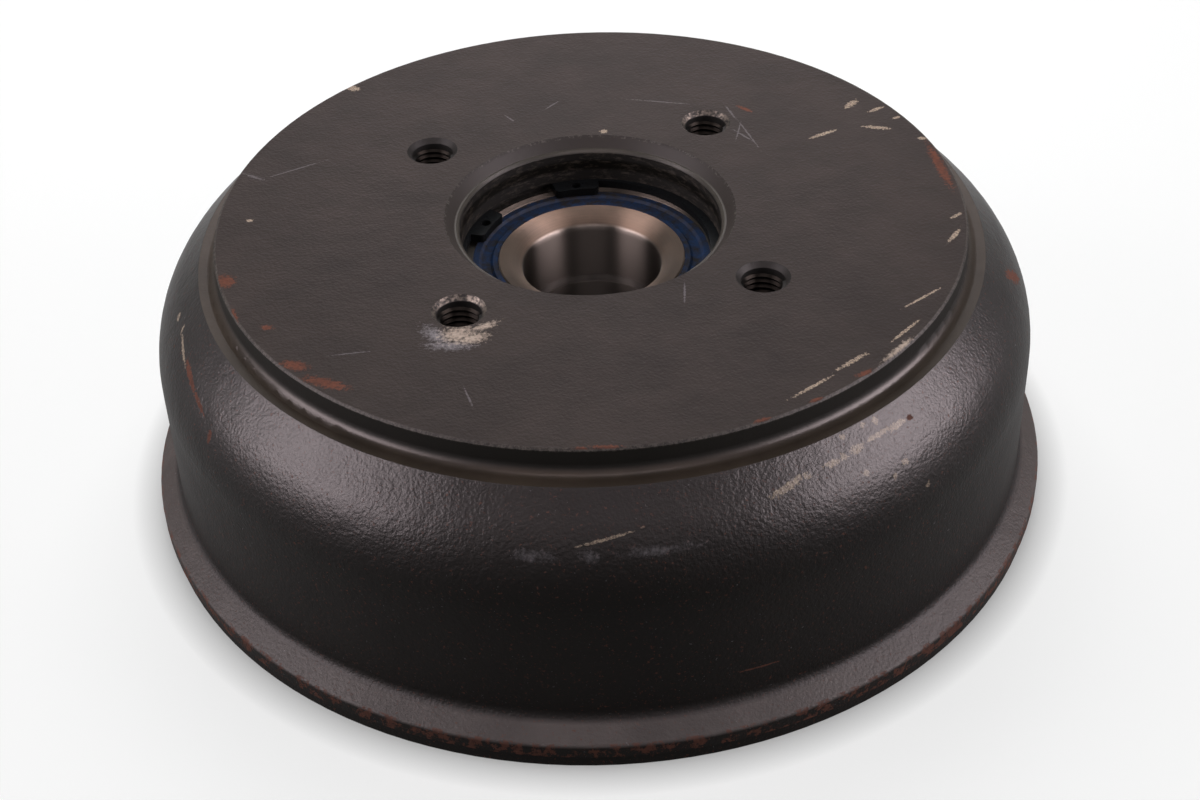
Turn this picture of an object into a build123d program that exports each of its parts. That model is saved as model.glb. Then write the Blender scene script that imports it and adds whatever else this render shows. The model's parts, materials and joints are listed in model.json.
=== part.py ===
from build123d import *
import os
from math import cos, pi, radians, sin, tan

# Hub brake drum for a 200 x 50 mm drum brake, with its sealed wheel bearing and circlip fitted.
# Millimetres. The origin is the centre of the open rim, and +Z runs along the axis to the wheel face.

# --- Drum, as cast -----------------------------------------------------------------------------
drum_height = 72.5  # open rim to wheel face
wall_thickness = 8.1  # outside of the track
web_thickness = 12.5  # disc that carries the wheel
shoulder_angle = 46.0  # slope of the cone under the ledge, from horizontal
shoulder_radius = 26.0  # round between that cone and the wall
inner_corner_radius = 16.0  # hollow where the web meets the wall

lip_overhang = 5.6  # lip round the open rim, past the wall
lip_edge_height = 6.6
lip_slope_angle = 35.0  # top of the lip, falling outwards
lip_edge_round = 1.2
lip_root_fillet = 3.0
rim_land_inset = 0.7  # turned band below the lip's cast edge
rim_land_height = 3.4

boss_wall = 10.0  # hub boss round the bearing, at its end
boss_draft_angle = 2.5
boss_root_fillet = 5.0
boss_end_chamfer = 1.5

bolt_pad_radius = 12.0  # thicker web round each wheel-bolt hole
bolt_pad_height = 3.5

# --- Drum, as machined -------------------------------------------------------------------------
track_radius = 100.0
track_length = 52.0
track_mouth_chamfer = 1.0
track_stock = 0.5  # left on the casting for boring the track

shoulder_width = 12.7  # foot of the wheel face's step to the outside of the wall
wheel_face_edge_chamfer = 0.5
rebate_depth = 6.5  # step round the wheel face
rebate_ledge_width = 4.55
rebate_fillet = 2.4

bolt_circle_radius = 50.0
bolt_count = 4
bolt_core_radius = 5.25  # tapping hole of an M12 x 1.5 thread
bolt_countersink = 1.15

hub_mouth_width = 3.0  # recess that leads a dust cap into its seat
hub_mouth_depth = 2.6
hub_mouth_taper = 1.8
hub_edge_chamfer = 0.5
cap_seat_lead = 0.7

bearing_depth = 13.1  # wheel face to the bearing
bearing_stop_width = 3.0  # lip that the bearing's outer ring rests on
bearing_stop_thickness = 4.0

# --- Bearing, double-row angular contact, 34 x 64 x 37 -----------------------------------------
bearing_outer_radius = 32.0
bearing_bore_radius = 17.0
bearing_width = 37.0
ring_edge_chamfer = 0.8

ring_wall = 2.6875  # what is left of each ring behind its ball groove
race_clearance = 0.05
race_opening = 72.0  # degrees of groove, from its floor to the rib or shoulder that takes the load

inner_mouth_radius = 4.0  # round from the bore to the inner ring's face
inner_face_chamfer = 0.3
joining_clip_depth = 1.0
joining_clip_width = 2.4
joining_clip_clearance = 0.05

seal_recess = 0.3  # below the face of the bearing
seal_rim_thickness = 3.0
seal_rim_width = 1.5
seal_dish_depth = 0.6
seal_web_thickness = 1.2
seal_lip_width = 1.3
seal_lip_clearance = 0.08

cage_seal_gap = 0.8
cage_gap = 0.35  # round the cage, to the balls and both rings
cage_base_thickness = 1.2
cage_post_width = 1.0
cage_post_depth = 2.4
cage_post_reach = 1.5  # past the middle of the row

# --- Circlip, for a 64 mm bore -----------------------------------------------------------------
circlip_thickness = 2.0
circlip_groove_depth = 1.5
circlip_groove_width = 2.15
circlip_clearance = 0.05
circlip_bow_width = 4.6  # section opposite the gap
circlip_neck_width = 2.1  # section next to the lugs
circlip_gap_angle = 35.0
circlip_gap_azimuth = 117.7
circlip_lug_angle = 22.0
circlip_lug_width = 6.0
circlip_lug_round = 1.2
circlip_hole_radius = 1.25
circlip_hole_inset = 1.9

# --- Worked out --------------------------------------------------------------------------------
web_inner_height = drum_height - web_thickness
ledge_height = drum_height - rebate_depth
wall_radius = track_radius + wall_thickness
ledge_radius = wall_radius - shoulder_width
wheel_face_radius = ledge_radius - rebate_ledge_width
cast_bore_radius = track_radius - track_stock
lip_radius = wall_radius + lip_overhang
rim_land_radius = lip_radius - rim_land_inset

bearing_half = bearing_width / 2
bearing_middle = drum_height - bearing_depth - bearing_half
bearing_foot = bearing_middle - bearing_half
bearing_face = bearing_middle + bearing_half
bearing_stop_radius = bearing_outer_radius - bearing_stop_width
boss_end_height = bearing_foot - bearing_stop_thickness
boss_radius = bearing_outer_radius + boss_wall
hub_mouth_radius = bearing_outer_radius + hub_mouth_width

ball_circle_radius = (bearing_outer_radius + bearing_bore_radius) / 2
race_radius = (bearing_outer_radius - bearing_bore_radius) / 2 - ring_wall
ball_radius = race_radius - race_clearance
seal_foot = bearing_half - seal_recess - seal_rim_thickness
cage_foot = seal_foot - cage_seal_gap - cage_base_thickness
ball_row_offset = cage_foot - cage_gap - ball_radius
balls_per_row = int(2 * pi * ball_circle_radius / (2 * ball_radius + cage_post_width + cage_gap))
seal_seat_radius = ball_circle_radius + race_radius
inner_shoulder_radius = ball_circle_radius - race_radius * cos(radians(race_opening))

circlip_radius = bearing_outer_radius + circlip_groove_depth - circlip_clearance


def turned(*outline):
    """The solid that a closed outline, drawn as radius and height, makes when turned about Z."""
    return revolve(Plane.XZ * make_face(Curve() + list(outline)), Axis.Z)


def turned_polygon(*corners):
    """A turned solid from corners of radius and height, each with a round as its third value."""
    rounds = [corner[2] if len(corner) > 2 else 0 for corner in corners]
    outline = FilletPolyline(*[corner[:2] for corner in corners], radius=rounds, close=True)
    return turned(outline)


# --- Drum --------------------------------------------------------------------------------------
def drum_casting():
    """The drum as cast: lip, wall, shoulder, web, hub boss and bolt pads."""
    lip_root_height = lip_edge_height + lip_overhang * tan(radians(lip_slope_angle))
    shoulder_drop = (wall_radius - ledge_radius) * tan(radians(shoulder_angle))
    boss_length = web_inner_height - boss_end_height
    boss_root_radius = boss_radius + boss_length * tan(radians(boss_draft_angle))
    casting = turned_polygon(
        (rim_land_radius, 0),
        (rim_land_radius, rim_land_height),
        (lip_radius, rim_land_height),
        (lip_radius, lip_edge_height, lip_edge_round),
        (wall_radius, lip_root_height, lip_root_fillet),
        (wall_radius, ledge_height - shoulder_drop, shoulder_radius),
        (ledge_radius, ledge_height),
        (ledge_radius, drum_height),
        (0, drum_height),
        (0, boss_end_height),
        (boss_radius - boss_end_chamfer, boss_end_height),
        (boss_radius, boss_end_height + boss_end_chamfer),
        (boss_root_radius, web_inner_height, boss_root_fillet),
        (cast_bore_radius, web_inner_height, inner_corner_radius),
        (cast_bore_radius, 0),
    )
    pad_seat = (Align.CENTER, Align.CENTER, Align.MAX)
    pad = Cylinder(bolt_pad_radius, bolt_pad_height, align=pad_seat)
    return casting + Pos(Z=web_inner_height) * bolt_circle() * pad


def bolt_circle():
    """Places round the wheel-bolt circle, the first midway between X and Y when there are four."""
    return PolarLocations(bolt_circle_radius, bolt_count, start_angle=180 / bolt_count)


def track_cutter():
    """The brake track, bored from the open rim, with a chamfered mouth."""
    inside = cast_bore_radius - inner_corner_radius
    return turned_polygon(
        (inside, -1),
        (track_radius + track_mouth_chamfer, -1),
        (track_radius + track_mouth_chamfer, 0),
        (track_radius, track_mouth_chamfer),
        (track_radius, track_length),
        (inside, track_length),
    )


def rebate_cutter():
    """The step turned round the wheel face, hollow at its foot, with the face's edge broken."""
    outside = ledge_radius + 1
    return turned_polygon(
        (wheel_face_radius, ledge_height, rebate_fillet),
        (outside, ledge_height),
        (outside, drum_height + 1),
        (wheel_face_radius - wheel_face_edge_chamfer, drum_height + 1),
        (wheel_face_radius - wheel_face_edge_chamfer, drum_height),
        (wheel_face_radius, drum_height - wheel_face_edge_chamfer),
    )


def hub_bore_cutter():
    """The bore from the wheel face: mouth, cap seat, circlip groove, bearing seat and stop."""
    groove_radius = bearing_outer_radius + circlip_groove_depth
    groove_top = bearing_face + circlip_thickness
    groove_foot = groove_top - circlip_groove_width
    mouth_floor = drum_height - hub_mouth_depth
    return turned_polygon(
        (0, boss_end_height - 1),
        (bearing_stop_radius, boss_end_height - 1),
        (bearing_stop_radius, bearing_foot),
        (bearing_outer_radius, bearing_foot),
        (bearing_outer_radius, groove_foot),
        (groove_radius, groove_foot),
        (groove_radius, groove_top),
        (bearing_outer_radius, groove_top),
        (bearing_outer_radius, mouth_floor - cap_seat_lead),
        (bearing_outer_radius + cap_seat_lead, mouth_floor),
        (hub_mouth_radius - hub_mouth_taper, mouth_floor),
        (hub_mouth_radius, drum_height - hub_edge_chamfer),
        (hub_mouth_radius + hub_edge_chamfer, drum_height),
        (hub_mouth_radius + hub_edge_chamfer, drum_height + 1),
        (0, drum_height + 1),
    )


def bolt_hole_cutter():
    """One tapping hole through the web and its pad, countersunk on the wheel face."""
    foot = web_inner_height - bolt_pad_height - 1
    mouth_radius = bolt_core_radius + bolt_countersink
    return turned_polygon(
        (0, foot),
        (bolt_core_radius, foot),
        (bolt_core_radius, drum_height - bolt_countersink),
        (mouth_radius, drum_height),
        (mouth_radius, drum_height + 1),
        (0, drum_height + 1),
    )


def brake_drum():
    """The finished drum: the casting with each machined face cut."""
    drum = drum_casting() - track_cutter() - rebate_cutter() - hub_bore_cutter()
    return drum - bolt_circle() * bolt_hole_cutter()


# --- Bearing, drawn about its own middle with +Z outboard --------------------------------------
def race(row, start, sweep):
    """The groove of one ball row in section, from an angle in degrees and through a sweep."""
    return CenterArc((ball_circle_radius, row), race_radius, start, sweep)


def outer_ring():
    """The outer ring: two grooves back to back on a middle rib, open outwards for the seals."""
    upper = race(ball_row_offset, -race_opening, race_opening)
    lower = race(-ball_row_offset, 0, race_opening)
    body = Polyline(
        upper @ 1,
        (seal_seat_radius, bearing_half),
        (bearing_outer_radius - ring_edge_chamfer, bearing_half),
        (bearing_outer_radius, bearing_half - ring_edge_chamfer),
        (bearing_outer_radius, ring_edge_chamfer - bearing_half),
        (bearing_outer_radius - ring_edge_chamfer, -bearing_half),
        (seal_seat_radius, -bearing_half),
        lower @ 0,
    )
    return turned(upper, body, lower, Line(lower @ 1, upper @ 0))


def inner_ring():
    """The outboard inner ring: wide rounded mouth, thick shoulder, groove and half clip recess."""
    groove = race(ball_row_offset, 180 - race_opening, race_opening)
    mouth_centre = (bearing_bore_radius + inner_mouth_radius, bearing_half - inner_mouth_radius)
    mouth = CenterArc(mouth_centre, inner_mouth_radius, 90, 90)
    face = Polyline(
        mouth @ 0,
        (inner_shoulder_radius - inner_face_chamfer, bearing_half),
        (inner_shoulder_radius, bearing_half - inner_face_chamfer),
        groove @ 0,
    )
    recess_radius = bearing_bore_radius + joining_clip_depth
    seam = Polyline(
        groove @ 1,
        (ball_circle_radius - race_radius, 0),
        (recess_radius, 0),
        (recess_radius, joining_clip_width / 2),
        (bearing_bore_radius, joining_clip_width / 2),
        mouth @ 1,
    )
    return turned(mouth, face, groove, seam)


def joining_clip():
    """The ring that holds the two inner rings together, in a recess across their seam."""
    outside = bearing_bore_radius + joining_clip_depth - joining_clip_clearance
    inside = bearing_bore_radius + 2 * joining_clip_clearance
    width = joining_clip_width - 2 * joining_clip_clearance
    return Cylinder(outside, width) - Cylinder(inside, width)


def seal():
    """The outboard seal: rim pressed into the outer ring, dished web and lip on the shoulder."""
    top = bearing_half - seal_recess
    dish = top - seal_dish_depth
    underside = dish - seal_web_thickness
    rim_inside = seal_seat_radius - seal_rim_width
    lip_inside = inner_shoulder_radius + seal_lip_clearance
    lip_outside = lip_inside + seal_lip_width
    return turned_polygon(
        (seal_seat_radius, top),
        (rim_inside, top),
        (rim_inside - seal_dish_depth, dish),
        (lip_outside + seal_dish_depth, dish),
        (lip_outside, top),
        (lip_inside, top),
        (lip_inside, underside),
        (rim_inside, underside),
        (rim_inside, top - seal_rim_thickness),
        (seal_seat_radius, top - seal_rim_thickness),
    )


def cage():
    """The outboard cage: a crown whose posts stand between the balls."""
    base_top = cage_foot + cage_base_thickness
    base = turned_polygon(
        (inner_shoulder_radius + cage_gap, cage_foot),
        (seal_seat_radius - cage_gap, cage_foot),
        (seal_seat_radius - cage_gap, base_top),
        (inner_shoulder_radius + cage_gap, base_top),
    )
    post_height = cage_foot + cage_base_thickness / 2 - ball_row_offset + cage_post_reach
    post_seat = (Align.CENTER, Align.CENTER, Align.MIN)
    post = Box(cage_post_depth, cage_post_width, post_height, align=post_seat)
    places = PolarLocations(ball_circle_radius, balls_per_row, start_angle=180 / balls_per_row)
    return base + Pos(Z=ball_row_offset - cage_post_reach) * places * post


def ball():
    """One ball with few faces, its corners on the true sphere."""
    corners = [(0, 0, ball_radius), (0, 0, -ball_radius)]
    for latitude in (-45, 0, 45):
        for longitude in range(0, 360, 45):
            level = ball_radius * cos(radians(latitude))
            corners.append(
                (
                    level * cos(radians(longitude)),
                    level * sin(radians(longitude)),
                    ball_radius * sin(radians(latitude)),
                )
            )
    return ConvexPolyhedron(corners)


# --- Circlip -----------------------------------------------------------------------------------
def sector(inside, outside, start, sweep):
    """A flat piece of a ring, from an angle in degrees and through a sweep."""
    inner = CenterArc((0, 0), inside, start, sweep)
    outer = CenterArc((0, 0), outside, start, sweep)
    return make_face(Curve() + [inner, outer, Line(inner @ 0, outer @ 0), Line(inner @ 1, outer @ 1)])


def circlip():
    """The circlip, lying on Z = 0: a bow that thins towards two drilled lugs either side of a gap."""
    bow_inside = circlip_radius - circlip_bow_width
    neck_inside = circlip_radius - circlip_neck_width
    lug_inside = circlip_radius - circlip_lug_width
    hole_circle = lug_inside + circlip_hole_inset
    half_gap = circlip_gap_angle / 2
    shift = (neck_inside - bow_inside) / 2
    flat = Circle(circlip_radius) - Pos(X=shift) * Circle((bow_inside + neck_inside) / 2)
    flat -= sector(bow_inside / 2, circlip_radius + 1, -half_gap, circlip_gap_angle)
    flat += sector(lug_inside, circlip_radius, half_gap, circlip_lug_angle)
    flat += sector(lug_inside, circlip_radius, -half_gap - circlip_lug_angle, circlip_lug_angle)
    inner_corners = [v for v in flat.vertices() if abs(Vector(v).length - lug_inside) < 0.01]
    flat = fillet(inner_corners, circlip_lug_round)
    for side in (-1, 1):
        lug_middle = side * (half_gap + circlip_lug_angle / 2)
        flat -= Rot(Z=lug_middle) * Pos(X=hole_circle) * Circle(circlip_hole_radius)
    return Rot(Z=circlip_gap_azimuth) * extrude(flat, circlip_thickness)


# --- Assembly ----------------------------------------------------------------------------------
def nodes():
    """Every piece by name, in its place in the drum."""
    outboard = Pos(Z=bearing_middle)
    inboard = outboard * Rot(X=180)
    pieces = {
        "brake_drum": brake_drum(),
        "circlip": Pos(Z=bearing_face) * circlip(),
        "bearing_outer_ring": outboard * outer_ring(),
        "inner_ring_joining_clip": outboard * joining_clip(),
    }
    for name, side in (("outboard", outboard), ("inboard", inboard)):
        pieces[f"bearing_inner_ring_{name}"] = side * inner_ring()
        pieces[f"bearing_seal_{name}"] = side * seal()
        pieces[f"ball_cage_{name}"] = side * cage()
        row = Pos(Z=ball_row_offset) * PolarLocations(ball_circle_radius, balls_per_row)
        for number, place in enumerate(row, start=1):
            pieces[f"ball_{name}_{number:02d}"] = side * place * ball()
    return pieces


os.makedirs("parts", exist_ok=True)
for node, piece in nodes().items():
    export_step(piece, f"parts/{node}.step")
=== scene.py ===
import json
from functools import reduce
from math import cos, pi, radians, sin
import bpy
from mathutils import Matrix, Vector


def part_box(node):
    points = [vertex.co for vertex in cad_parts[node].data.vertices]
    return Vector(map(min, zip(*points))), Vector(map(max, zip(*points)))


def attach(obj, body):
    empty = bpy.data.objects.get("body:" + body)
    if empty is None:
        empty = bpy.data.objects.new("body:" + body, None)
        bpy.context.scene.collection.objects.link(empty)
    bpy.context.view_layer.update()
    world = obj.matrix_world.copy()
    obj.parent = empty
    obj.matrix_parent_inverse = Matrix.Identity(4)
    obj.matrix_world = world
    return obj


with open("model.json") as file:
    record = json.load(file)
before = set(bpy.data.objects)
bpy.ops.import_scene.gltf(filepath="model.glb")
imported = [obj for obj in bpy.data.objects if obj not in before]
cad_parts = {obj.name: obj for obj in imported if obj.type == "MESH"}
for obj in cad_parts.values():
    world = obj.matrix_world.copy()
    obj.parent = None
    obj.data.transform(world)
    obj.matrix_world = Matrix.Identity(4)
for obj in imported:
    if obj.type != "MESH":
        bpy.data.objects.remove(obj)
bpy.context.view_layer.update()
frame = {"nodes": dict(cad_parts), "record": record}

from types import SimpleNamespace

import bpy
from mathutils import Matrix, Vector

MM = 0.001

# --- Sizes of the part, in millimetres, that the finishes and the threads follow ------------------
drum_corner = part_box("brake_drum")[1]
drum_height = drum_corner.z / MM
lip_radius = drum_corner.x / MM
mounts = {mount["name"]: mount["dims"] for mount in frame["record"]["mounts"]}
bolt_circle_radius = mounts["wheel_bolts"]["pcd_mm"] / 2
bolt_hole_radius = mounts["wheel_bolts"]["hole_r_mm"]
bolt_reach = bolt_circle_radius * cos(pi / 4)  # axis to a bolt hole, both across and up
bearing_seat_radius = mounts["cap_seat"]["r_mm"]
bearing_bore_radius = mounts["stub_axle_bore"]["r_mm"]
track_radius = mounts["brake_track"]["r_mm"]

wall_radius = track_radius + 8.1
ledge_radius = wall_radius - 12.7
wheel_face_radius = ledge_radius - 4.55
ledge_height = drum_height - 6.5
lip_edge_height = 6.6
web_underside = drum_height - 12.5
shell_radius = track_radius + 1.0  # inside the metal, between the track and the outside
track_length = 52.0
hub_edge_radius = bearing_seat_radius + 3.5  # outside of the chamfer round the hub's mouth
cap_seat_top = drum_height - 2.6
boss_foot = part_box("bearing_outer_ring")[0].z / MM - 4.0


# --- Making materials -----------------------------------------------------------------------------
def linear(colour):
    """An sRGB hex colour as the linear RGBA that shaders take."""
    values = [int(colour[i : i + 2], 16) / 255 for i in (1, 3, 5)]
    return [v / 12.92 if v <= 0.04045 else ((v + 0.055) / 1.055) ** 2.4 for v in values] + [1]


def add(tree, kind, *inputs, **settings):
    """Adds a node. Values and links go to its first sockets in order; a keyword is one of the
    node's own settings, or else a socket's name with _ for each space."""
    made = tree.nodes.new("ShaderNode" + kind)
    for name in [name for name in settings if hasattr(made, name)]:
        setattr(made, name, settings.pop(name))
    sockets = [socket for socket in made.inputs if socket.enabled]
    named = {socket.name: socket for socket in reversed(sockets)}
    filled = [*zip(sockets, inputs), *((named[n.replace("_", " ")], v) for n, v in settings.items())]
    for socket, value in filled:
        if isinstance(value, bpy.types.Node):
            value = next(output for output in value.outputs if output.enabled)
        if isinstance(value, bpy.types.NodeSocket):
            tree.links.new(value, socket)
        elif value is not None:
            socket.default_value = linear(value) if isinstance(value, str) else value
    return made


def surface(tree, **settings):
    """Ends a material in one Principled shader."""
    add(tree, "OutputMaterial", add(tree, "BsdfPrincipled", **settings))


def new_finish(name, shown):
    """An empty material. shown is its colour in the solid view."""
    made = bpy.data.materials.new(name)
    made.diffuse_color = linear(shown)
    made.use_nodes = True
    made.node_tree.nodes.clear()
    return made


def millimetres(tree):
    """The place on the object, in millimetres."""
    place = add(tree, "TexCoord").outputs["Object"]
    return add(tree, "VectorMath", place, operation="SCALE", Scale=1 / MM)


def about_axis(tree, place):
    """X, Y, radius and height of a place."""
    x, y, height = add(tree, "SeparateXYZ", place).outputs
    radius = add(tree, "VectorMath", add(tree, "CombineXYZ", x, y), operation="LENGTH")
    return x, y, radius, height


def overlap(tree, *areas):
    """Where all of these areas lie. An area is 1 inside, 0 outside, and fades at its edge."""
    return reduce(lambda a, b: add(tree, "Math", a, b, operation="MULTIPLY"), areas)


def either(tree, *areas):
    """Where any of these areas lies."""
    return reduce(lambda a, b: add(tree, "Math", a, b, operation="MAXIMUM"), areas)


def layered(tree, ground, *layers, data_type="RGBA"):
    """Colours, or values with FLOAT, laid over a ground. Each layer is (area, colour)."""
    for area, over in layers:
        ground = add(tree, "Mix", area, ground, over, data_type=data_type)
    return ground


# How far the ragged pattern pushes a mark's edge in and out, in half widths of the mark, and the
# level at which that edge lies
mark_raggedness = 3.0
mark_edge = -0.42


def marks(tree, plane, ragged, places, fade=0.25):
    """Ragged spots and scratches on a plane, each (across, up, half length, half width, turn).
    A larger fade blurs their edges. Marks within 10 degrees share one turned plane."""
    turned = {}
    nearest = None
    for across, up, half_length, half_width, turn in places:
        turn = round(turn, -1) % 180
        along, aside = cos(radians(turn)), sin(radians(turn))
        if turn not in turned:
            turned[turn] = add(
                tree, "CombineXYZ",
                add(tree, "VectorMath", plane, (along, aside, 0), operation="DOT_PRODUCT"),
                add(tree, "VectorMath", plane, (-aside, along, 0), operation="DOT_PRODUCT"))
        to_middle = (-(across * along + up * aside) / half_length,
                     (across * aside - up * along) / half_width, 0)
        spot = add(tree, "VectorMath", turned[turn], (1 / half_length, 1 / half_width, 0), to_middle,
                   operation="MULTIPLY_ADD")
        distance = add(tree, "VectorMath", spot, operation="LENGTH")
        nearest = distance if nearest is None else add(
            tree, "Math", nearest, distance, operation="MINIMUM")
    edge = add(tree, "Math", ragged, -mark_raggedness, nearest, operation="MULTIPLY_ADD")
    return add(tree, "MapRange", edge, mark_edge, mark_edge - fade)


# --- The casting: black paint over cast iron, bare where it is turned or worn ---------------------
# Size of one lump, cloud or speck of each pattern, in millimetres
lump_size = 1.82
pebble_size = 0.77
grain_size = 0.333
swell_size = 6.25
cloud_size = 20.0
ragged_size = 0.833
speck_size = 3.03
smear_size = 3.33
smear_flatness = 3  # how many times wider than high a smear is

# Depth of the cast relief in millimetres, and how much of it each surface shows
relief_depth = 0.18
face_relief = 1.0
cast_relief = 0.68
hub_relief = 0.2
inside_relief = 1.0

dull_ior = 1.12  # old paint and rubber under dust shine less than when new

# Marks on the wheel face, in millimetres: across, up, half length, half width and turn in degrees
FACE_CHIPS = [
    (37.0, -77.7, 5.5, 0.45, 27), (47.5, -70.6, 4.4, 0.6, 33), (61.9, -61.8, 4.7, 0.42, 39),
    (69.0, -50.3, 5.6, 0.33, 30), (83.1, -27.3, 3.2, 0.6, 46), (86.1, -19.1, 1.9, 0.5, 29),
    (74.3, 37.1, 2.5, 0.96, 36), (79.8, 33.1, 2.3, 0.63, 25), (84.0, 28.1, 1.2, 0.45, 16),
    (63.4, 23.7, 3.8, 0.64, 22), (77.9, 24.2, 3.3, 0.7, -21), (87.6, 16.9, 1.0, 0.7, -33),
    (-53.4, 71.2, 1.6, 1.3, -43), (9.0, 36.2, 1.0, 0.9, -11), (-82.0, 11.5, 0.8, 0.6, 0),
]
FACE_BRIGHT_CHIPS = [(58.3, -68.4, 6.0, 0.9, 36), (60.5, -66.6, 2.4, 1.1, 40)]
FACE_RUST = [
    (88.4, 3.5, 10.5, 1.3, -87), (-73.0, -49.3, 3.4, 1.6, -29), (-66.7, -56.8, 5.6, 1.6, -32),
    (-88.2, -13.5, 2.4, 2.7, 32), (-86.2, -27.8, 3.4, 0.7, -75), (-78.8, -33.8, 1.4, 0.9, -20),
    (46.7, 40.0, 2.4, 0.64, -52), (36.9, -82.3, 1.6, 0.6, 15), (49.2, -75.2, 2.8, 0.7, 15),
    (-15.1, -89.2, 1.6, 0.7, -11), (-9.8, -89.8, 3.4, 0.8, -6), (24.1, -87.0, 2.0, 0.7, 13),
]
FACE_SCRATCHES = [
    (44.9, 28.1, 8.0, 0.26, -78), (42.8, 29.5, 4.6, 0.24, -113), (42.7, 39.2, 3.8, 0.3, -80),
    (43.6, 27.0, 3.5, 0.3, -63), (25.0, 48.3, 8.8, 0.26, 157), (-2.3, 52.0, 3.2, 0.25, 44),
    (-14.1, 47.3, 2.3, 0.25, -62), (-80.6, 31.5, 3.4, 0.45, -36), (-70.6, 32.9, 7.6, 0.28, 19),
    (16.3, -38.2, 3.8, 0.26, -95), (-36.4, -67.6, 3.6, 0.24, -84), (-60.7, -47.1, 4.4, 0.25, -4),
]
BARE_BY_BOLT_HOLE = [
    (-36.4, -44.6, 4.4, 3.6, -4), (-30.4, -42.6, 3.8, 1.3, 20), (-33.5, -46.6, 4.2, 2.2, 10),
]
SMEAR_BY_BOLT_HOLE = [(-41.3, -44.2, 5.2, 2.4, -62), (-38.5, -48.3, 6.0, 2.0, -8)]
# Marks on the shoulder and wall: millimetres round the wall from +X and up from the open rim
# The seven small spots with turn 0 and half length 0.7 to 0.9 mm are painted glints on the right of
# the shoulder; the rest are scrapes
SHOULDER_SCRAPES_AND_GLINTS = [
    (-139.2, 61.2, 4.8, 0.6, 6), (-134.0, 61.7, 1.4, 0.4, 0), (-127.0, 62.1, 2.2, 0.5, 3),
    (-123.2, 62.2, 1.2, 0.5, -3), (-119.1, 62.5, 2.1, 0.7, -1), (-111.8, 62.8, 3.7, 0.42, -3),
    (-105.9, 62.5, 2.9, 0.55, -1), (-114.9, 65.3, 0.7, 0.5, 0), (-110.9, 64.9, 0.8, 0.6, 0),
    (-108.3, 56.6, 0.9, 0.6, 0), (-112.4, 55.3, 0.7, 0.5, 0), (-119.4, 58.4, 0.8, 0.6, 0),
    (-103.8, 49.5, 0.7, 0.6, 0), (-121.5, 65.1, 0.8, 0.5, 0), (-182.8, 58.0, 6.1, 0.25, 9),
    (-331.1, 60.0, 1.4, 0.5, 157), (-324.7, 60.4, 1.4, 0.35, 142), (-317.7, 59.2, 5.7, 0.35, -6),
]
SIDE_RUST = [
    (-101.4, 62.4, 1.0, 0.45, -10), (-307.6, 58.2, 6.4, 0.65, -7), (-299.0, 56.8, 4.4, 0.5, -12),
    (-289.9, 53.6, 0.8, 1.4, 14), (-28.4, 58.1, 4.0, 1.6, -34), (-149.3, 18.6, 5.0, 0.25, 2),
]
# Pale lilac scuffs along the lower edge of the front shoulder's highlight, partly painted glints
SIDE_SCUFFS_AND_GLINTS = [
    (-198.5, 55.0, 5.0, 1.3, 3), (-186.3, 55.1, 2.8, 1.2, -8), (-171.4, 55.4, 9.5, 1.1, -2),
]


def casting_places(tree):
    """Where a point of the casting is: its place, X, Y, radius and height, flat on the wheel face,
    and on the side unrolled round the wall."""
    place = millimetres(tree)
    x, y, radius, height = about_axis(tree, place)
    flat = add(tree, "CombineXYZ", x, y)
    turn = add(tree, "Math", y, x, operation="ARCTAN2")
    around = add(tree, "Math", turn, wall_radius, operation="MULTIPLY")
    side = add(tree, "CombineXYZ", around, height)
    return SimpleNamespace(place=place, x=x, y=y, radius=radius, height=height, flat=flat, side=side)


def casting_patterns(tree, place):
    """Lumps, pebbles, grains and swells of the cast skin, clouds in the paint, the ragged pattern
    that breaks up every edge, specks of rust, and flat smears of grease."""
    lumps = add(tree, "TexVoronoi", place, Scale=1 / lump_size)
    pebbles = add(tree, "TexNoise", place, Scale=1 / pebble_size, Detail=1.5, Roughness=0.5)
    grains = add(tree, "TexNoise", place, Scale=1 / grain_size, Detail=1.0)
    swells = add(tree, "TexNoise", place, Scale=1 / swell_size, Detail=1.0)
    clouds = add(tree, "TexNoise", place, Scale=1 / cloud_size, Detail=5.0, Roughness=0.6)
    ragged = add(tree, "TexNoise", place, Scale=1 / ragged_size, Detail=4.0, Roughness=0.7)
    specks = add(tree, "TexNoise", place, Scale=1 / speck_size, Detail=6.0, Roughness=0.75)
    flattened = add(tree, "Mapping", place, Scale=(1, 1, smear_flatness))
    smears = add(tree, "TexNoise", flattened, Scale=1 / smear_size, Detail=5.0, Roughness=0.7)
    return SimpleNamespace(lumps=lumps, pebbles=pebbles, grains=grains, swells=swells, clouds=clouds,
                           ragged=ragged, specks=specks, smears=smears)


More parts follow.
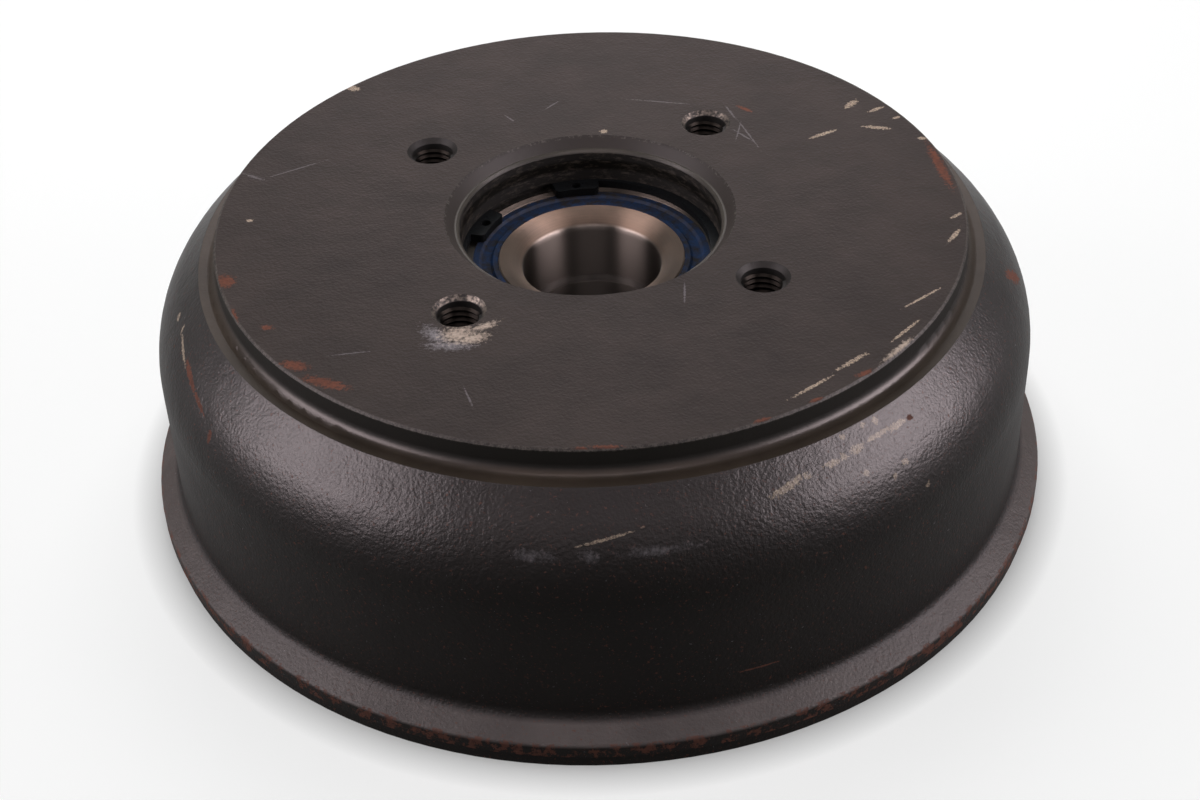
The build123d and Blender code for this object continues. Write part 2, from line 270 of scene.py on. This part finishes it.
def painted_outside(tree, at, pattern, area):
    """Black paint: lighter from 44 mm up as painted light from above, leaving the lower wall darker as
    painted shade;
    lighter on the lip, worn thin on the rim and a painted reflection on the flange; darker on the step
    as painted shade;
    lighter brown on the oily ledge as a painted highlight; browner on the machined face, with the
    face's edge rubbed.
    Adds the face, the step and the ledge to the areas."""
    area.face = add(tree, "MapRange", at.height, drum_height - 0.3, drum_height - 0.1)
    # Lighter from 44 mm up: painted light from above, which leaves the lower wall darker as painted
    # shade
    painted_light_from_above = add(tree, "MapRange", at.height, 44.0, 60.0)
    # Lighter on the lip: the rim's paint worn thin, and a painted reflection on the flange
    lip = overlap(tree, add(tree, "MapRange", at.radius, wall_radius + 0.6, wall_radius + 1.6),
                  add(tree, "MapRange", at.height, lip_edge_height - 0.6, lip_edge_height))
    # The step's darker colour is painted shade on the rebate's vertical wall
    area.step = overlap(tree, add(tree, "MapRange", at.radius, ledge_radius, ledge_radius - 0.1),
                        add(tree, "MapRange", at.height, ledge_height - 2, ledge_height - 1))
    # The ledge's lighter brown is a painted highlight; its gloss comes from its lower roughness
    area.ledge = overlap(tree, area.step,
                         add(tree, "MapRange", at.height, ledge_height + 1.6, ledge_height + 0.6))
    face_edge = overlap(
        tree, area.step,
        add(tree, "MapRange", at.radius, wheel_face_radius - 0.7, wheel_face_radius - 0.45),
        add(tree, "MapRange", at.height, drum_height - 0.9, drum_height - 0.5),
        add(tree, "MapRange", pattern.ragged, 0.4, 0.6))
    # Painted light and shade: lighter from 44 mm up as light from above, darker on the lower wall and
    # the step as shade, lighter brown on the ledge as a highlight, and a reflection on the lip's
    # flange
    paint = layered(tree, "#110f0d", (painted_light_from_above, "#242120"), (lip, "#534c4a"), (area.step, "#161511"),
                    (area.ledge, "#3e352e"), (area.face, "#2b2421"), (face_edge, "#48423d"))
    worn = add(tree, "MapRange", pattern.clouds, 0.35, 0.65, 0.8, 1.2)
    return add(tree, "Mix", 1.0, paint, worn, data_type="RGBA", blend_type="MULTIPLY")


def rusted(tree, at, pattern, area, colour):
    """Rust in single spots, in a film on the lip's edge and as fine dots on the cast side. Adds the
    cast side and the rust to the areas."""
    shoulder = overlap(
        tree, add(tree, "MapRange", at.radius, ledge_radius - 0.05, ledge_radius + 0.1),
        add(tree, "MapRange", at.radius, shell_radius + 0.5, shell_radius),
        add(tree, "MapRange", at.height, web_underside - 2, web_underside - 1.5))
    area.cast = either(tree, shoulder,
                       add(tree, "MapRange", at.radius, shell_radius - 0.2, shell_radius + 0.3))
    lip_edge = overlap(tree, add(tree, "MapRange", at.radius, lip_radius - 0.7, lip_radius - 0.4),
                       add(tree, "MapRange", pattern.specks, 0.5, 0.56))
    area.rust = either(
        tree,
        overlap(tree, area.face, marks(tree, at.flat, pattern.ragged, FACE_RUST, 0.45),
                add(tree, "MapRange", pattern.specks, 0.3, 0.5, 0.6, 1.0)),
        overlap(tree, area.cast, marks(tree, at.side, pattern.ragged, SIDE_RUST)),
        overlap(tree, area.cast, add(tree, "MapRange", pattern.ragged, 0.61, 0.67), 0.6),
        overlap(tree, lip_edge, 0.75))
    rust_colour = add(tree, "Mix", pattern.specks, "#3a2119", "#7d4a38", data_type="RGBA")
    return layered(tree, colour, (area.rust, rust_colour))


def chipped(tree, at, pattern, area, colour):
    """Paint chipped down to pale filler, scuff marks and fine scratches, and patches worn bright. Some
    chip and scuff marks on the shoulder are painted glints.
    """
    chips_and_glints = either(tree, overlap(tree, area.face, marks(tree, at.flat, pattern.ragged, FACE_CHIPS)),
                   overlap(tree, area.cast, marks(tree, at.side, pattern.ragged, SHOULDER_SCRAPES_AND_GLINTS)))
    filler = add(tree, "Mix", add(tree, "MapRange", pattern.grains, 0.35, 0.65),
                 "#74645a", "#bba793", data_type="RGBA")
    scuffs_and_glints = either(
        tree,
        overlap(tree, area.cast, marks(tree, at.side, pattern.ragged, SIDE_SCUFFS_AND_GLINTS, 0.9),
                add(tree, "MapRange", pattern.specks, 0.4, 0.6, 0.0, 0.5)),
        overlap(tree, area.face, marks(tree, at.flat, pattern.ragged, FACE_SCRATCHES, 0.5), 0.27),
        overlap(tree, area.face, marks(tree, at.flat, pattern.ragged, SMEAR_BY_BOLT_HOLE, 1.1), 0.7),
        overlap(tree, area.cast, add(tree, "MapRange", pattern.ragged, 0.33, 0.29), 0.45))
    worn_bright = FACE_BRIGHT_CHIPS + BARE_BY_BOLT_HOLE
    bright = overlap(tree, area.face, marks(tree, at.flat, pattern.ragged, worn_bright, 0.9),
                     add(tree, "MapRange", pattern.specks, 0.3, 0.5, 0.7, 1.0))
    # Some of the chip and scuff marks on the shoulder are painted glints
    return layered(tree, colour, (overlap(tree, chips_and_glints, 0.9), filler), (scuffs_and_glints, "#948d92"),
                   (bright, "#b3a093"))


def raw_inside(tree, at, pattern, area, colour):
    """Raw casting inside the drum. Adds the inside and the turned track to the areas."""
    area.inside = overlap(
        tree, add(tree, "MapRange", at.radius, track_radius + 0.7, track_radius + 0.5),
        add(tree, "MapRange", at.height, web_underside + 0.3, web_underside + 0.15))
    raw = add(tree, "Mix", pattern.specks, "#1d1a17", "#4a3629", data_type="RGBA")
    area.track = overlap(
        tree, add(tree, "MapRange", at.radius, track_radius - 0.3, track_radius - 0.2),
        add(tree, "MapRange", at.radius, track_radius + 0.7, track_radius + 0.6),
        add(tree, "MapRange", at.height, track_length, track_length - 0.3))
    return layered(tree, colour, (area.inside, raw))


def greasy_hub(tree, at, pattern, area, colour):
    """The hub's painted mouth, the rounded lead into it, lighter than the mouth as a painted
    highlight, and the seat with smears of grease. Adds the lead to the areas."""
    hub = overlap(
        tree, add(tree, "MapRange", at.radius, hub_edge_radius + 0.05, hub_edge_radius - 0.05),
        add(tree, "MapRange", at.height, boss_foot - 0.5, boss_foot))
    mouth_edge = overlap(
        tree, hub, add(tree, "MapRange", at.height, drum_height - 0.6, drum_height - 0.4),
        add(tree, "MapRange", pattern.ragged, 0.52, 0.62))
    area.lead = overlap(
        tree, hub,
        add(tree, "MapRange", at.radius, bearing_seat_radius + 1.3, bearing_seat_radius + 0.9),
        add(tree, "MapRange", at.height, cap_seat_top - 0.8, cap_seat_top - 0.4))
    seat = overlap(
        tree, hub,
        add(tree, "MapRange", at.radius, bearing_seat_radius + 2.0, bearing_seat_radius + 1.8),
        add(tree, "MapRange", at.height, cap_seat_top - 0.4, cap_seat_top - 0.8))
    grease = add(tree, "Mix", add(tree, "MapRange", pattern.smears, 0.5, 0.68), "#181613", "#4c443e",
                 data_type="RGBA")
    # The lead's lighter colour is a painted highlight along the rounded edge
    return layered(tree, colour, (hub, "#292421"), (mouth_edge, "#4d4844"), (area.lead, "#45403b"),
                   (seat, grease))


def bolt_holes_in_painted_shade(tree, at, pattern, area, colour):
    """Holes coloured near-black as painted shade down the bores, with two countersinks partly bare and
    two still dark.
    Adds bare metal, here and on the track, to the areas."""
    to_hole = add(tree, "VectorMath", add(tree, "VectorMath", at.flat, operation="ABSOLUTE"),
                  (bolt_reach, bolt_reach, 0), operation="DISTANCE")
    hole = add(tree, "MapRange", to_hole, bolt_hole_radius + 1.2, bolt_hole_radius + 1.1)
    countersink = overlap(
        tree, hole, add(tree, "MapRange", to_hole, bolt_hole_radius, bolt_hole_radius + 0.15),
        add(tree, "MapRange", at.height, drum_height - 2, drum_height - 1.8))
    bare_pair = add(tree, "MapRange", add(tree, "Math", at.x, at.y, operation="MULTIPLY"), -10, 10)
    bare = overlap(tree, countersink, bare_pair, add(tree, "MapRange", pattern.ragged, 0.4, 0.6), 0.45)
    area.metal = either(tree, bare, area.track)
    iron = add(tree, "Mix", pattern.specks, "#3d3833", "#6a635b", data_type="RGBA")
    turned = add(tree, "Mix", pattern.specks, "#857c72", "#b0a79b", data_type="RGBA")
    # The near-black hole colour is painted shade down the bores
    return layered(tree, colour, (hole, "#100f0d"), (countersink, "#151311"), (area.metal, iron),
                   (area.track, turned))


def sand_cast_bump(tree, pattern, area):
    """Swells, rounded lumps, pebbles and grains left by the sand mould."""
    relief = add(tree, "Math", pattern.grains, 0.25, pattern.pebbles, operation="MULTIPLY_ADD")
    relief = add(tree, "Math", pattern.swells, 1.3, relief, operation="MULTIPLY_ADD")
    rounded = add(tree, "MapRange", pattern.lumps, 0.7, 0.0, interpolation_type="SMOOTHSTEP")
    relief = add(tree, "Math", rounded, 0.2, relief, operation="MULTIPLY_ADD")
    shown = layered(tree, hub_relief, (area.face, face_relief), (area.cast, cast_relief),
                    (area.inside, inside_relief), data_type="FLOAT")
    return add(tree, "Bump", Strength=shown, Distance=relief_depth * MM, Height=relief)


def casting_finish():
    """Satin black chassis paint brushed over sand-cast iron: soft pebbled highlights on the cast
    sides, a flatter machined wheel face, rust and pale filler where it is chipped, and bare iron
    in two bolt holes and on the brake track."""
    finish = new_finish("black_paint_on_cast_iron", "#3a3533")
    tree = finish.node_tree
    at = casting_places(tree)
    pattern = casting_patterns(tree, at.place)
    area = SimpleNamespace()
    colour = painted_outside(tree, at, pattern, area)
    for covered in (rusted, chipped, raw_inside, greasy_hub, bolt_holes_in_painted_shade):
        colour = covered(tree, at, pattern, area, colour)
    cast_roughness = add(tree, "MapRange", at.height, 35.0, 58.0, 0.55, 0.37)
    roughness = layered(tree, 0.56, (area.cast, cast_roughness), (area.lead, 0.3), (area.ledge, 0.3),
                        (area.rust, 0.85), (area.metal, 0.42), data_type="FLOAT")
    surface(tree, Base_Color=colour, Metallic=area.metal, Roughness=roughness, IOR=dull_ior,
            Normal=sand_cast_bump(tree, pattern, area))
    return finish


# --- Steel, rubber and plastic --------------------------------------------------------------------
def turned_metal(name, shown, light, dark, roughness, ring_width, ring_depth, oily_radius=0.0):
    """Metal turned or ground about the axis, with dark oil on it inside oily_radius. Sizes are in
    millimetres. Real rings are too fine to show, so these are drawn coarser."""
    finish = new_finish(name, shown)
    tree = finish.node_tree
    place = millimetres(tree)
    *_, radius, height = about_axis(tree, place)
    rings = add(tree, "TexNoise", add(tree, "CombineXYZ", radius, height), Scale=1 / ring_width,
                Detail=3.0, Roughness=0.6)
    clouds = add(tree, "TexNoise", place, Scale=1 / 8.33, Detail=4.0, Roughness=0.6)
    tone = add(tree, "Math", rings, 0.5, add(tree, "Math", clouds, 0.5, operation="MULTIPLY"),
               operation="MULTIPLY_ADD")
    metal = add(tree, "Mix", add(tree, "MapRange", tone, 0.35, 0.65), dark, light, data_type="RGBA")
    oily = add(tree, "MapRange", radius, oily_radius, oily_radius - 0.3)
    uneven = add(tree, "MapRange", clouds, 0.3, 0.7, roughness - 0.06, roughness + 0.06)
    surface(tree, Base_Color=layered(tree, metal, (oily, "#47433f")), Metallic=1.0,
            Roughness=layered(tree, uneven, (oily, 0.3), data_type="FLOAT"),
            Normal=add(tree, "Bump", Strength=1.0, Distance=ring_depth * MM, Height=rings),
            Anisotropic=0.95, Anisotropic_Rotation=0.25,
            Tangent=add(tree, "Tangent", direction_type="RADIAL", axis="Z"))
    return finish


def dull_skin(name, light, dark, roughness, grain_width, grain_depth):
    """A grained skin, moulded or phosphated, mottled with a film of grease and dust. Sizes are in
    millimetres."""
    finish = new_finish(name, light)
    tree = finish.node_tree
    place = millimetres(tree)
    film = add(tree, "TexNoise", place, Scale=1 / 2.86, Detail=5.0, Roughness=0.7)
    grain = add(tree, "TexNoise", place, Scale=1 / grain_width, Detail=2.0)
    colour = add(tree, "Mix", add(tree, "MapRange", film, 0.4, 0.62), light, dark, data_type="RGBA")
    uneven = add(tree, "MapRange", film, 0.35, 0.65, roughness - 0.08, roughness + 0.12)
    surface(tree, Base_Color=colour, Roughness=uneven, IOR=dull_ior,
            Normal=add(tree, "Bump", Strength=1.0, Distance=grain_depth * MM, Height=grain))
    return finish


# Each finish goes on the nodes whose names begin with its key
finishes = {
    "brake_drum": casting_finish(),
    # Ground bearing steel: bright streaks along the axis, browned by handling, oily in the bore
    "bearing_inner_ring": turned_metal(
        "ground_bearing_steel", "#a39888", "#443a32", "#302a25", roughness=0.72, ring_width=0.12,
        ring_depth=0.006, oily_radius=bearing_bore_radius + 0.5),
    # Ground bearing steel under a film of oil: a thin dark line round the seal
    "bearing_outer_ring": turned_metal(
        "oiled_bearing_steel", "#5a534c", "#2b2724", "#1a1815", roughness=0.5, ring_width=0.12,
        ring_depth=0.004),
    # Phosphated and oiled spring steel: almost black, with a dull sheen
    "circlip": dull_skin("black_phosphated_spring_steel", "#16181a", "#0a0b0c", roughness=0.35,
                         grain_width=0.4, grain_depth=0.02),
    # Rolled steel strip: grey and evenly bright
    "inner_ring_joining_clip": turned_metal(
        "bright_strip_steel", "#9a9a96", "#3f3c39", "#2a2826", roughness=0.4, ring_width=0.2,
        ring_depth=0.003),
    # Moulded nitrile rubber: deep blue and dull, blackened by grease
    "bearing_seal": dull_skin("blue_nitrile_rubber", "#07213f", "#151414", roughness=0.7,
                              grain_width=0.3, grain_depth=0.02),
    # Moulded polyamide: cream, slightly glossy
    "ball_cage": dull_skin("natural_polyamide", "#c9bfa6", "#a79c82", roughness=0.45,
                           grain_width=0.4, grain_depth=0.01),
    # Lapped and polished bearing balls: close to a mirror
    "ball_": turned_metal("polished_ball_steel", "#c9c9c9", "#d0d0d0", "#b5b5b5", roughness=0.12,
                          ring_width=0.5, ring_depth=0.001),
}
for node in frame["nodes"]:
    finish = next(made for start, made in finishes.items() if node.startswith(start))
    for slot in bpy.data.objects[node].material_slots:
        slot.material = finish


# --- Threads in the wheel-bolt holes --------------------------------------------------------------
thread_pitch = 1.5
thread_depth = 0.55
thread_top = drum_height - 1.3
thread_bottom = drum_height - 15.5
thread_steps = 32  # to a turn

# Tapped cast iron, coloured near-black as painted shade down the holes, with a dull glint along each
# ridge
cut_iron = turned_metal("cut_iron_in_painted_shade", "#857c74", "#12100e", "#0a0908", roughness=0.5,
                        ring_width=0.4, ring_depth=0.004)


def bolt_thread(name, azimuth):
    """The ridge of an M12 x 1.5 thread, standing out of the wall of one bolt hole."""
    bpy.ops.object.select_all(action="DESELECT")
    on_wall = Vector((bolt_hole_radius - thread_depth / 3, 0, thread_bottom)) * MM
    bpy.ops.mesh.primitive_circle_add(vertices=3, radius=thread_depth * MM, fill_type="NOTHING",
                                      location=on_wall, rotation=(pi / 2, 0, 0))
    ridge = bpy.context.object
    ridge.name = name
    bpy.ops.object.mode_set(mode="EDIT")
    bpy.ops.mesh.select_all(action="SELECT")
    bpy.ops.transform.rotate(value=pi / 2, orient_axis="Y", center_override=ridge.location)
    bpy.ops.object.mode_set(mode="OBJECT")
    bpy.ops.object.transform_apply(location=True, rotation=True, scale=True)
    screw = ridge.modifiers.new("Thread", "SCREW")
    screw.screw_offset = thread_pitch * MM
    screw.iterations = int((thread_top - thread_bottom) / thread_pitch)
    screw.steps = screw.render_steps = thread_steps
    screw.use_merge_vertices = False
    bpy.ops.object.modifier_apply(modifier=screw.name)
    bpy.ops.object.mode_set(mode="EDIT")
    bpy.ops.mesh.select_all(action="SELECT")
    bpy.ops.mesh.fill_holes(sides=3)
    bpy.ops.mesh.select_all(action="SELECT")
    bpy.ops.mesh.normals_make_consistent(inside=False)
    bpy.ops.object.mode_set(mode="OBJECT")
    ridge.location = Vector((cos(azimuth), sin(azimuth), 0)) * bolt_circle_radius * MM
    bpy.ops.object.transform_apply(location=True, rotation=True, scale=True)
    bpy.ops.object.shade_smooth_by_angle(angle=radians(30))
    ridge.data.materials.append(cut_iron)
    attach(ridge, "drum")


for corner, name in enumerate(("rear_right", "rear_left", "front_left", "front_right")):
    bolt_thread("bolt_thread_" + name, radians(45 + 90 * corner))


# --- Floor, light and camera ----------------------------------------------------------------------
def studio_white(tree):
    """1 for what the eye and shiny metal see directly, and 0 for the light that falls on things."""
    path = add(tree, "LightPath").outputs
    return either(tree, path["Is Camera Ray"], path["Is Glossy Ray"], path["Is Transmission Ray"])


bpy.ops.object.select_all(action="DESELECT")
bpy.ops.mesh.primitive_plane_add(size=8, location=(0, 0, -0.0002))
floor = bpy.context.object
floor.name = "floor"
floor_finish = new_finish("white_paper", "#ffffff")
tree = floor_finish.node_tree
off_axis = add(tree, "VectorMath", add(tree, "TexCoord").outputs["Object"], operation="LENGTH")
# The glow fades out from 14 mm outside the drum's wall to 3 mm inside it: a painted contact shadow
# round the drum, and painted shade under it
glow_outside_painted_shadow = add(tree, "MapRange", off_axis, (wall_radius - 3) * MM, (wall_radius + 14) * MM)
glow = add(tree, "Emission", "#ffffff", overlap(tree, studio_white(tree), glow_outside_painted_shadow, 0.7))
add(tree, "OutputMaterial", add(tree, "AddShader", add(tree, "BsdfDiffuse", "#959595"), glow))
floor.data.materials.append(floor_finish)

world = bpy.data.worlds.new("studio")
bpy.context.scene.world = world
world.use_nodes = True
world.node_tree.nodes.clear()
tree = world.node_tree
strength = add(tree, "MapRange", studio_white(tree), 0.0, 1.0, 0.12, 1.0)
add(tree, "OutputWorld", add(tree, "Background", "#ffffff", strength))


def softbox(name, azimuth, elevation, distance, width, height, radiance, gloss_only=False):
    """A softbox that faces the drum. Angles are in degrees and sizes in metres, and radiance is how
    bright its cloth looks. A gloss card shows as a highlight and adds no other light."""
    lamp = bpy.data.lights.new(name, "AREA")
    lamp.shape = "RECTANGLE"
    lamp.size, lamp.size_y = width, height
    lamp.energy = radiance * pi * width * height
    stand = bpy.data.objects.new(name, lamp)
    bpy.context.collection.objects.link(stand)
    away = Vector((cos(radians(elevation)) * cos(radians(azimuth)),
                   cos(radians(elevation)) * sin(radians(azimuth)), sin(radians(elevation))))
    stand.location = Vector((0, 0, 0.05)) + away * distance
    stand.rotation_euler = away.to_track_quat("Z", "Y").to_euler()
    stand.visible_diffuse = not gloss_only
    if gloss_only:
        lamp.color = (1.0, 0.86, 0.9)


softbox("softbox_behind", 83, 50, 0.62, 0.45, 0.45, 4.6)
softbox("softbox_above", -100, 80, 0.9, 0.6, 0.6, 1.2)
softbox("softbox_left", 171, 25, 1.0, 0.5, 0.5, 3.5)
softbox("softbox_right", -18, 23, 1.0, 0.5, 0.5, 2.9)
softbox("gloss_card_left", 190, 25, 1.1, 0.85, 0.65, 66, gloss_only=True)
softbox("gloss_card_right", -22, 25, 1.1, 0.9, 0.6, 78, gloss_only=True)
softbox("gloss_card_behind", 83, 22, 0.8, 0.7, 0.3, 4.2, gloss_only=True)
softbox("gloss_card_front", -98, 36, 1.1, 0.8, 0.5, 6, gloss_only=True)
softbox("gloss_card_above", -98, 68, 1.1, 0.8, 0.4, 14, gloss_only=True)

eye = bpy.data.objects.new("camera", bpy.data.cameras.new("camera"))
bpy.context.collection.objects.link(eye)
eye.data.lens = 61.243
eye.data.sensor_width = 36
eye.matrix_world = (
    Matrix.Translation(Vector((-52.3, -414.3, 343.5)) * MM)
    @ Matrix.Rotation(radians(-7.3), 4, "Z")
    @ Matrix.Rotation(radians(51.707), 4, "X")
    @ Matrix.Rotation(radians(-2.092), 4, "Z")
)
bpy.context.scene.camera = eye
bpy.context.scene.view_settings.view_transform = "Standard"
